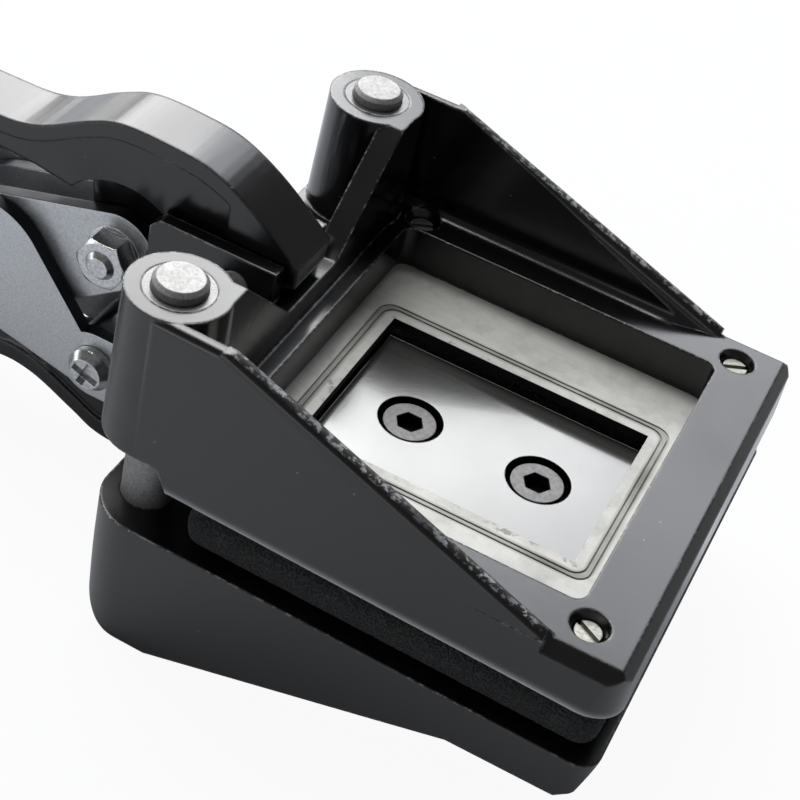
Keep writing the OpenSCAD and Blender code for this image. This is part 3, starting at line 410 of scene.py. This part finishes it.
def worked_steel(name, face, shade, grain, sheen, radius, cut=None):
    """Turned, rolled or plated steel. It gives an even metal with a fine grain of darker specks, dull patches
    and soft edges that catch the light. Given a cut colour, a plate takes that darker colour on its cut edges."""
    material, tree = new_material(name)
    place = add(tree, "ShaderNodeTexCoord").outputs["Object"]
    fine = add(tree, "ShaderNodeTexNoise", {
        "Vector": place, "Scale": per_mm(grain), "Detail": 4.0, "Roughness": 0.6})
    speck = add(tree, "ShaderNodeMapRange", {
        "Value": fine.outputs["Fac"], "From Min": 0.4, "From Max": 0.7})
    colour = add(tree, "ShaderNodeMix", {
        "Factor": speck.outputs["Result"], "A": face, "B": srgb(shade)}, data_type="RGBA")
    # Faces that don't point across the plate, which are its cut edges, take the darker cut colour
    if cut:
        flat = add(tree, "ShaderNodeNewGeometry")
        facing = add(tree, "ShaderNodeSeparateXYZ", {0: flat.outputs["Normal"]})
        across = add(tree, "ShaderNodeMath", {0: facing.outputs["Y"]}, operation="ABSOLUTE")
        side = add(tree, "ShaderNodeMapRange", {
            "Value": across.outputs["Value"], "From Min": 0.75, "From Max": 0.5})
        colour = add(tree, "ShaderNodeMix", {
            "Factor": side.outputs["Result"],
            "A": colour.outputs["Result"], "B": srgb(cut)}, data_type="RGBA")
    dull = add(tree, "ShaderNodeTexNoise", {"Vector": place, "Scale": per_mm(grain * 12), "Detail": 3.0})
    rough = add(tree, "ShaderNodeMapRange", {
        "Value": dull.outputs["Fac"],
        "From Min": 0.3, "From Max": 0.7, "To Min": sheen[0], "To Max": sheen[1]})
    rounded = add(tree, "ShaderNodeBevel", {"Radius": radius * MM}, samples=EDGE_RAYS)
    bump = add(tree, "ShaderNodeBump", {
        "Height": fine.outputs["Fac"], "Strength": 0.15, "Distance": 0.06 * MM,
        "Normal": rounded.outputs["Normal"]})
    shader = add(tree, "ShaderNodeBsdfPrincipled", {
        "Base Color": colour.outputs["Result"], "Metallic": 1.0, "Roughness": rough.outputs["Result"],
        "Normal": bump.outputs["Normal"]})
    add(tree, "ShaderNodeOutputMaterial", {"Surface": shader.outputs["BSDF"]})
    return material


def rubbed_black_oxide(finishes, top):
    """Black oxide on socket screws. It stays black down the sides and in the sockets, and is rubbed to a fine
    grey on top of the heads, which stand at a height."""
    material, tree = new_material("black_oxide_steel_rubbed")
    place = add(tree, "ShaderNodeTexCoord").outputs["Object"]
    height = add(tree, "ShaderNodeSeparateXYZ", {0: place})
    bare = add(tree, "ShaderNodeMapRange", {
        "Value": height.outputs["Z"], "From Min": top - 0.5 * MM, "From Max": top - 0.2 * MM})
    fine = add(tree, "ShaderNodeTexNoise", {"Vector": place, "Scale": per_mm(0.6), "Detail": 3.0})
    left = add(tree, "ShaderNodeMapRange", {
        "Value": fine.outputs["Fac"],
        "From Min": 0.35, "From Max": 0.75, "To Min": 1.0, "To Max": 0.7})
    share = add(tree, "ShaderNodeMath", {0: bare.outputs["Result"], 1: left.outputs["Result"]},
                operation="MULTIPLY")
    colour = add(tree, "ShaderNodeMix", {
        "Factor": share.outputs["Value"], "A": finishes.oxide, "B": finishes.rubbed}, data_type="RGBA")
    rough = add(tree, "ShaderNodeMapRange", {
        "Value": fine.outputs["Fac"],
        "From Min": 0.3, "From Max": 0.7, "To Min": 0.42, "To Max": 0.52})
    rounded = add(tree, "ShaderNodeBevel", {"Radius": 0.25 * MM}, samples=EDGE_RAYS)
    shader = add(tree, "ShaderNodeBsdfPrincipled", {
        "Base Color": colour.outputs["Result"], "Metallic": 0.8, "Roughness": rough.outputs["Result"],
        "Normal": rounded.outputs["Normal"]})
    add(tree, "ShaderNodeOutputMaterial", {"Surface": shader.outputs["BSDF"]})
    return material


def open_cell_foam(finishes, cell):
    """Open-cell rubber foam, cut with a die. It gives a matt charcoal that is pitted all over, with black
    cells between paler walls."""
    material, tree = new_material("open_cell_rubber_foam_die_cut")
    place = add(tree, "ShaderNodeTexCoord").outputs["Object"]
    cells = add(tree, "ShaderNodeTexVoronoi", {"Vector": place, "Scale": 1 / cell})
    wall = add(tree, "ShaderNodeMapRange", {
        "Value": cells.outputs["Distance"], "From Min": 0.2, "From Max": 0.7})
    tone = add(tree, "ShaderNodeMix", {
        "Factor": wall.outputs["Result"], "A": srgb("#090909"), "B": srgb("#2e2f30")}, data_type="RGBA")
    cloud = add(tree, "ShaderNodeTexNoise", {"Vector": place, "Scale": per_mm(3), "Detail": 4.0})
    fade = add(tree, "ShaderNodeMapRange", {
        "Value": cloud.outputs["Fac"], "From Min": 0.3, "From Max": 0.7, "To Max": 0.5})
    colour = add(tree, "ShaderNodeMix", {
        "Factor": fade.outputs["Result"], "A": tone.outputs["Result"], "B": finishes.foam}, data_type="RGBA")
    bump = add(tree, "ShaderNodeBump", {
        "Height": cells.outputs["Distance"], "Strength": 0.8, "Distance": 0.4 * MM})
    shader = add(tree, "ShaderNodeBsdfPrincipled", {
        "Base Color": colour.outputs["Result"], "Roughness": 0.95, "IOR": 1.4,
        "Normal": bump.outputs["Normal"]})
    add(tree, "ShaderNodeOutputMaterial", {"Surface": shader.outputs["BSDF"]})
    return material


class CUTTER_OT_castings(bpy.types.Operator):
    """Enamels the frame and the base"""
    bl_idname = "cutter.castings"
    bl_label = "Castings"

    def execute(self, context):
        finishes = context.scene.cutter_finishes
        enamel = gloss_black_enamel(finishes, "black_stove_enamel_on_zinc_casting", finishes.edge,
                                    chipped=1.0)
        wear(enamel, "upper_frame", "base_casting")
        return {"FINISHED"}


class CUTTER_OT_handles(bpy.types.Operator):
    """Casts both handles with smooth curves, from copies of their solids, and enamels them"""
    bl_idname = "cutter.handles"
    bl_label = "Handles"

    def execute(self, context):
        finishes = context.scene.cutter_finishes
        enamel = gloss_black_enamel(finishes, "black_stove_enamel_on_cast_handle", finishes.grip_edge,
                                    chipped=0.12)
        for node, body in (("upper_handle", "upper_lever"), ("lower_handle", "lower_lever")):
            handle = bpy.data.objects.new(f"{node}_casting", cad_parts[node].data.copy())
            context.collection.objects.link(handle)
            pick(handle)
            bpy.ops.object.mode_set(mode="EDIT")
            bpy.ops.mesh.select_all(action="SELECT")
            bpy.ops.mesh.remove_doubles(threshold=SAME_PLACE)
            bpy.ops.object.mode_set(mode="OBJECT")
            bpy.ops.object.shade_smooth_by_angle(angle=HANDLE_CURVE)
            finish_with(handle, "Flat sides", "WEIGHTED_NORMAL", mode="FACE_AREA", weight=80, keep_sharp=True)
            handle.data.materials.clear()
            handle.data.materials.append(enamel)
            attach(handle, body)
            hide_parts(node)
        return {"FINISHED"}


class CUTTER_OT_die_and_punch(bpy.types.Operator):
    """Grinds the die plate and the punch"""
    bl_idname = "cutter.die_and_punch"
    bl_label = "Die and punch"

    def execute(self, context):
        finishes = context.scene.cutter_finishes
        die = ground_steel(finishes, "ground_tool_steel_die", finishes.die,
                           sheen=(0.62, 0.74), metal=0.4, lines=0.16, film=0.0, grime=0.14)
        wear(die, "die_plate")
        punch = ground_steel(finishes, "ground_tool_steel_punch", finishes.punch,
                             sheen=(0.17, 0.21), metal=0.75, lines=0.01, film=0.3, grime=0.0)
        wear(punch, "punch_block")
        return {"FINISHED"}


class CUTTER_OT_guides(bpy.types.Operator):
    """Finishes the guide pins, bushes, hinge pins and slide pins"""
    bl_idname = "cutter.guides"
    bl_label = "Guides"

    def execute(self, context):
        finishes = context.scene.cutter_finishes
        turned = worked_steel("turned_hardened_steel_pin", finishes.pin, shade="#777776",
                              grain=0.5, sheen=(0.5, 0.62), radius=0.3)
        wear(turned, "guide_pin_left", "guide_pin_right", "upper_hinge_pin", "lower_hinge_pin",
             "upper_slide_pin", "lower_slide_pin")
        sintered = worked_steel("sintered_steel_bush_oiled", finishes.bush, shade="#5a5a5a",
                                grain=0.4, sheen=(0.3, 0.4), radius=0.15)
        wear(sintered, "guide_bush_left", "guide_bush_right")
        return {"FINISHED"}


class CUTTER_OT_links(bpy.types.Operator):
    """Finishes the four link plates"""
    bl_idname = "cutter.links"
    bl_label = "Links"

    def execute(self, context):
        finishes = context.scene.cutter_finishes
        rolled = worked_steel("rolled_steel_plate_satin", finishes.link, shade="#adb0b3",
                              grain=0.35, sheen=(0.34, 0.48), radius=0.35, cut="#2c2d2f")
        wear(rolled, "inner_link_left", "inner_link_right", "outer_link_left", "outer_link_right")
        return {"FINISHED"}


class CUTTER_OT_fasteners(bpy.types.Operator):
    """Finishes the screws, bolt, nut, washers and centre pin"""
    bl_idname = "cutter.fasteners"
    bl_label = "Fasteners"

    def execute(self, context):
        finishes = context.scene.cutter_finishes
        nickel = worked_steel("nickel_plated_screw_steel", finishes.plating, shade="#a9aaab",
                              grain=0.6, sheen=(0.2, 0.3), radius=0.25)
        wear(nickel, "link_bolt", "link_nut", "link_washers", "link_screws")
        zinc = worked_steel("zinc_plated_steel_dulled", finishes.zinc, shade="#75746e",
                            grain=0.6, sheen=(0.46, 0.58), radius=0.25)
        wear(zinc, "die_screws")
        oxide = rubbed_black_oxide(finishes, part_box("punch_screws")[1][2])
        wear(oxide, "punch_screws", "centre_pivot")
        return {"FINISHED"}


class CUTTER_OT_foam(bpy.types.Operator):
    """Cuts the foam pad that strips the photograph from the punch"""
    bl_idname = "cutter.foam"
    bl_label = "Foam pad"

    def round_corners(self, pad, radius):
        """Bevels the pad's upright edges."""
        bpy.ops.object.mode_set(mode="EDIT")
        bpy.ops.mesh.select_all(action="DESELECT")
        bpy.ops.object.mode_set(mode="OBJECT")
        for edge in pad.data.edges:
            foot, head = (pad.data.vertices[i].co for i in edge.vertices)
            edge.select = abs(foot.z - head.z) > UPRIGHT_RISE
        bpy.ops.object.mode_set(mode="EDIT")
        bpy.ops.mesh.select_mode(type="EDGE")
        bpy.ops.mesh.bevel(offset=radius, segments=8, affect="EDGES")
        bpy.ops.mesh.select_all(action="DESELECT")
        bpy.ops.object.mode_set(mode="OBJECT")

    def narrow_rear(self, pad, middle, share):
        """Narrows the pad behind its middle to a share of its width."""
        for vertex in pad.data.vertices:
            vertex.select = vertex.co.x < middle
        bpy.ops.object.mode_set(mode="EDIT")
        bpy.ops.mesh.select_mode(type="VERT")
        bpy.ops.transform.resize(value=(1, share, 1))
        bpy.ops.object.mode_set(mode="OBJECT")

    def execute(self, context):
        sizes = context.scene.cutter_foam
        low, high = (Vector(c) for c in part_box("foam_pad"))
        punch_low, punch_high = (Vector(c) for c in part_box("punch_block"))
        pad = block((low + high) / 2, high - low - FOAM_TRIM)
        pad.name = "foam_stripper"
        self.round_corners(pad, sizes.corner)
        self.narrow_rear(pad, (low.x + high.x) / 2, 1 - sizes.taper / high.y)
        room = Vector((2 * sizes.gap, 2 * sizes.gap, HOLE_EXTRA))
        core = block((punch_low + punch_high) / 2, punch_high - punch_low + room)
        pick(pad)
        finish_with(pad, "Punch hole", "BOOLEAN", object=core, operation="DIFFERENCE")
        finish_with(pad, "Cells", "REMESH", mode="VOXEL", voxel_size=sizes.cell)
        grain = bpy.data.textures.new("Foam cells", "CLOUDS")
        grain.noise_scale = LUMP_CELLS * sizes.cell
        finish_with(pad, "Pits", "DISPLACE", texture=grain, texture_coords="LOCAL", strength=sizes.pits,
                    mid_level=0.7)
        bpy.ops.object.shade_smooth()
        bpy.data.objects.remove(core, do_unlink=True)
        pad.data.materials.append(open_cell_foam(context.scene.cutter_finishes, sizes.cell))
        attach(pad, "lower_jaw")
        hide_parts("foam_pad")
        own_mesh(pad)
        return {"FINISHED"}


def studio_paper():
    """Matt white paper, uncoated. It takes the shadows, and the camera sees most of it as plain white."""
    material, tree = new_material("matt_white_studio_paper")
    ray = add(tree, "ShaderNodeLightPath")
    paper = add(tree, "ShaderNodeBsdfDiffuse", {"Color": srgb("#c2c6cc")})
    white = add(tree, "ShaderNodeEmission", {"Color": srgb("#ffffff"), "Strength": 1.0})
    mirror = add(tree, "ShaderNodeMath", {
        0: ray.outputs["Is Glossy Ray"], 1: ray.outputs["Is Transmission Ray"]}, operation="MAXIMUM")
    dimmed = add(tree, "ShaderNodeMath", {0: mirror.outputs["Value"], 1: MIRROR_WHITE}, operation="MULTIPLY")
    direct = add(tree, "ShaderNodeMath", {0: ray.outputs["Is Camera Ray"], 1: CAMERA_WHITE},
                 operation="MULTIPLY")
    seen = add(tree, "ShaderNodeMath", {0: direct.outputs["Value"], 1: dimmed.outputs["Value"]},
               operation="MAXIMUM")
    both = add(tree, "ShaderNodeMixShader", {
        0: seen.outputs["Value"], 1: paper.outputs["BSDF"], 2: white.outputs["Emission"]})
    add(tree, "ShaderNodeOutputMaterial", {"Surface": both.outputs["Shader"]})
    return material


def studio_walls():
    """Walls that are bright low down, most of all behind the handles, and dim above. The camera sees white."""
    world = bpy.data.worlds.new("studio_walls")
    world.use_nodes = True
    tree = world.node_tree
    tree.nodes.clear()
    look = add(tree, "ShaderNodeTexCoord")
    rise = add(tree, "ShaderNodeSeparateXYZ", {0: look.outputs["Generated"]})
    low = add(tree, "ShaderNodeMapRange", {
        "Value": rise.outputs["Z"],
        "From Min": 0.06, "From Max": 0.3, "To Min": 1.0, "To Max": 0.0})
    side = add(tree, "ShaderNodeMapRange", {
        "Value": rise.outputs["X"],
        "From Min": -0.7, "From Max": 0.65, "To Min": 3.2, "To Max": 0.4})
    level = add(tree, "ShaderNodeMix", {
        "Factor": low.outputs["Result"], "A": 0.15, "B": side.outputs["Result"]})
    ray = add(tree, "ShaderNodeLightPath")
    seen = add(tree, "ShaderNodeMix", {
        "Factor": ray.outputs["Is Camera Ray"], "A": level.outputs["Result"], "B": 1.0})
    walls = add(tree, "ShaderNodeBackground", {
        "Color": srgb("#ffffff"), "Strength": seen.outputs["Result"]})
    add(tree, "ShaderNodeOutputWorld", {"Surface": walls.outputs["Background"]})
    return world


def soft_box(name, at, aim, size, glow, colour):
    """Area light of a size at a place, aimed at a point, whose face shows a brightness."""
    lamp = bpy.data.lights.new(name, "AREA")
    lamp.shape = "RECTANGLE"
    lamp.size, lamp.size_y = size
    lamp.energy = glow * 4 * size[0] * size[1]
    lamp.color = srgb(colour)[:3]
    box = bpy.data.objects.new(name, lamp)
    box.location = at
    box.rotation_euler = (Vector(aim) - Vector(at)).to_track_quat("-Z", "Y").to_euler()
    bpy.context.collection.objects.link(box)
    return box


class CUTTER_OT_stage(bpy.types.Operator):
    """Sets the floor, the surroundings, the lamps and the camera"""
    bl_idname = "cutter.stage"
    bl_label = "Stage"

    def execute(self, context):
        sizes = context.scene.cutter_stage
        fresh_start()
        bpy.ops.mesh.primitive_plane_add(size=sizes.floor, location=(0, 0, 0))
        floor = context.object
        floor.name = "studio_floor"
        floor.data.materials.append(studio_paper())
        context.scene.world = studio_walls()

        for name, values in SOFT_BOXES.items():
            soft_box(name, *values)
        window = soft_box("ceiling_window", *WINDOW)
        window.rotation_euler = (0, 0, WINDOW_TURN)

        camera = bpy.data.cameras.new("photo_camera")
        camera.sensor_width = SENSOR_WIDTH
        camera.lens = sizes.lens
        camera.clip_start = NEAREST_DEPTH
        eye = bpy.data.objects.new("photo_camera", camera)
        eye.location = CAMERA_PLACE
        eye.rotation_euler = [math.radians(turn) for turn in CAMERA_TURNS]
        context.collection.objects.link(eye)
        context.scene.camera = eye
        context.scene.view_settings.view_transform = "Standard"
        return {"FINISHED"}


class CUTTER_PT_panel(bpy.types.Panel):
    """Lists the cutter's pieces and settings"""
    bl_idname = "CUTTER_PT_panel"
    bl_label = "Photo die cutter"
    bl_space_type = "VIEW_3D"
    bl_region_type = "UI"
    bl_category = "Cutter"

    def draw(self, context):
        for name in STEPS:
            self.layout.operator(f"cutter.{name}")
        for group in SETTINGS:
            owner = getattr(context.scene, group)
            for key in owner.__annotations__:
                self.layout.prop(owner, key)


STEPS = ("castings", "handles", "die_and_punch", "guides", "links", "fasteners", "foam", "stage")
SETTINGS = ("cutter_finishes", "cutter_foam", "cutter_stage")
CLASSES = (
    CutterFinishes, CutterFoam, CutterStage,
    CUTTER_OT_castings, CUTTER_OT_handles, CUTTER_OT_die_and_punch, CUTTER_OT_guides, CUTTER_OT_links,
    CUTTER_OT_fasteners, CUTTER_OT_foam, CUTTER_OT_stage,
    CUTTER_PT_panel,
)


def register():
    for cls in CLASSES:
        bpy.utils.register_class(cls)
    bpy.types.Scene.cutter_finishes = bpy.props.PointerProperty(type=CutterFinishes)
    bpy.types.Scene.cutter_foam = bpy.props.PointerProperty(type=CutterFoam)
    bpy.types.Scene.cutter_stage = bpy.props.PointerProperty(type=CutterStage)


def unregister():
    for name in SETTINGS:
        delattr(bpy.types.Scene, name)
    for cls in reversed(CLASSES):
        bpy.utils.unregister_class(cls)


def main():
    register()
    for name in STEPS:
        getattr(bpy.ops.cutter, name)()


if __name__ == "__main__":
    main()
